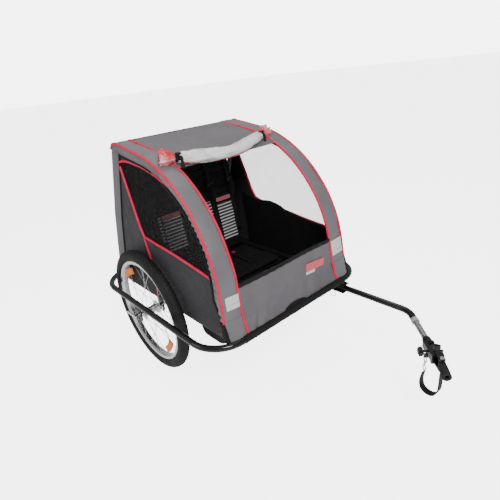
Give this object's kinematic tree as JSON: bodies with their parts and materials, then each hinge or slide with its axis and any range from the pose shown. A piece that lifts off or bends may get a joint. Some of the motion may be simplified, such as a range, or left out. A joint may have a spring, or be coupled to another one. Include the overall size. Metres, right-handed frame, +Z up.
{
  "type": "child bicycle trailer",
  "caption": "Two-seat child bicycle trailer with a folding fabric canopy on a steel base loop, quick-release wheels and a side tow bar with clamp and coupler.",
  "frame": {"origin": "centre of the trailer's footprint on the ground, below the middle of its box", "axes": "+X forward in the direction of travel, +Y to the left, +Z up; the base loop is level, as when towed"},
  "size_m": [1.3363, 0.7864, 0.8813],
  "materials": {
    "black_steel": "gloss",
    "bright_steel": "polished",
    "alloy": "satin",
    "tyre": "matt",
    "orange_reflector": "gloss",
    "grey_fabric": "coated polyester",
    "charcoal_fabric": "coated polyester",
    "black_fabric": "matt",
    "black_webbing": "woven",
    "coral_piping": "satin",
    "window": "clear film",
    "mesh": "open mesh",
    "clear_film": "clear film",
    "black_plastic": "satin",
    "black_rubber": "satin"
  },
  "bodies": {
    "frame": {"base_loop": "black_steel", "inner_tube_left": "black_steel", "inner_tube_right": "black_steel", "seat_cross_tube": "black_steel", "dropouts_left": "black_steel", "dropouts_right": "black_steel", "hoop_bracket_left": "black_steel", "hoop_bracket_right": "black_steel", "back_brackets": "black_steel", "tow_bracket": "black_steel", "frame_bolts": "bright_steel", "tow_pivot_bolt": "bright_steel", "floor_panel": "black_fabric", "footwell": "black_fabric", "front_panel": "grey_fabric", "seat_base": "black_fabric", "lap_belts": "black_webbing", "axle_left": "bright_steel", "axle_right": "bright_steel", "skewer_left": "bright_steel", "skewer_right": "bright_steel"},
    "wheel_left": {"tyre_left": "tyre", "rim_left": "alloy", "spokes_left": "bright_steel", "hub_left": "alloy", "reflectors_left": "orange_reflector"},
    "wheel_right": {"tyre_right": "tyre", "rim_right": "alloy", "spokes_right": "bright_steel", "hub_right": "alloy", "reflectors_right": "orange_reflector"},
    "lever_left": {"qr_lever_left": "alloy"},
    "lever_right": {"qr_lever_right": "alloy"},
    "canopy": {"hoop_left": "black_steel", "hoop_right": "black_steel", "brow_bar": "black_steel", "rear_top_bar": "black_steel", "roof_panel": "grey_fabric", "strip_left": "grey_fabric", "strip_right": "grey_fabric", "side_upper_left": "window", "side_upper_right": "mesh", "side_lower_left": "charcoal_fabric", "side_lower_right": "charcoal_fabric", "rear_panel": "charcoal_fabric", "cover_roll": "clear_film", "roll_ties": "black_webbing"},
    "backrest": {"back_frame": "black_steel", "seat_back": "black_fabric", "shoulder_straps": "black_webbing"},
    "drawbar": {"tow_bar": "black_steel", "tow_extension": "bright_steel", "hitch_yoke": "black_plastic", "hitch_rings": "bright_steel", "safety_strap": "black_webbing"},
    "jaw": {"clamp_jaw": "black_plastic"},
    "knob": {"star_knob": "black_plastic"},
    "swivel": {"coupler": "black_rubber"},
    "lock_pin": {"tow_lock_pin": "bright_steel"}
  },
  "joints": [
    {"name": "wheel_left_spin", "type": "hinge", "parent": "frame", "child": "wheel_left", "pos_m": [-0.33395, 0.322, 0.25], "axis": [0, 1, 0], "continuous": true},
    {"name": "wheel_right_spin", "type": "hinge", "parent": "frame", "child": "wheel_right", "pos_m": [-0.33395, -0.322, 0.25], "axis": [0, 1, 0], "continuous": true},
    {"name": "lever_left_flip", "type": "hinge", "parent": "frame", "child": "lever_left", "pos_m": [-0.33395, 0.388, 0.25], "axis": [0, 0, -1], "range_deg": [0, 170]},
    {"name": "lever_right_flip", "type": "hinge", "parent": "frame", "child": "lever_right", "pos_m": [-0.33395, -0.388, 0.25], "axis": [0, 0, 1], "range_deg": [0, 170]},
    {"name": "canopy_fold", "type": "hinge", "parent": "frame", "child": "canopy", "pos_m": [0.11105, 0, 0.331], "axis": [0, -1, 0], "range_deg": [0, 38], "deforming": ["side_lower_left", "side_lower_right", "rear_panel"]},
    {"name": "backrest_fold", "type": "hinge", "parent": "frame", "child": "backrest", "pos_m": [-0.56895, 0, 0.356], "axis": [0, 1, 0], "range_deg": [0, 70], "deforming": ["seat_back", "shoulder_straps"]},
    {"name": "tow_bar_swing", "type": "hinge", "parent": "frame", "child": "drawbar", "pos_m": [0.15105, 0.262, 0.262], "axis": [0, 0, 1], "range_deg": [-62, 0]},
    {"name": "lock_pin_pull", "type": "slide", "parent": "frame", "child": "lock_pin", "axis": [0, 0, -1], "range_m": [0, 0.03], "stiffness_N_per_m": 300, "springref_m": -0.006},
    {"name": "knob_turn", "type": "hinge", "parent": "jaw", "child": "knob", "pos_m": [0.555, 0.08603, 0.262], "axis": [0.6947, 0.7193, 0], "range_deg": [0, 1200]},
    {"name": "jaw_slide", "type": "slide", "parent": "drawbar", "child": "jaw", "axis": [0.6947, 0.7193, 0], "range_m": [0, 0.005]},
    {"name": "coupler_yaw", "type": "hinge", "parent": "drawbar", "child": "swivel", "pos_m": [0.62387, 0.07097, 0.262], "axis": [0, 0, 1], "range_deg": [-40, 40]}
  ],
  "couplings": [
    {"joint": "backrest_fold", "follows": "canopy_fold", "ratio": 1.83},
    {"joint": "jaw_slide", "follows": "knob_turn", "m_per_rad": 0.00023873}
  ]
}
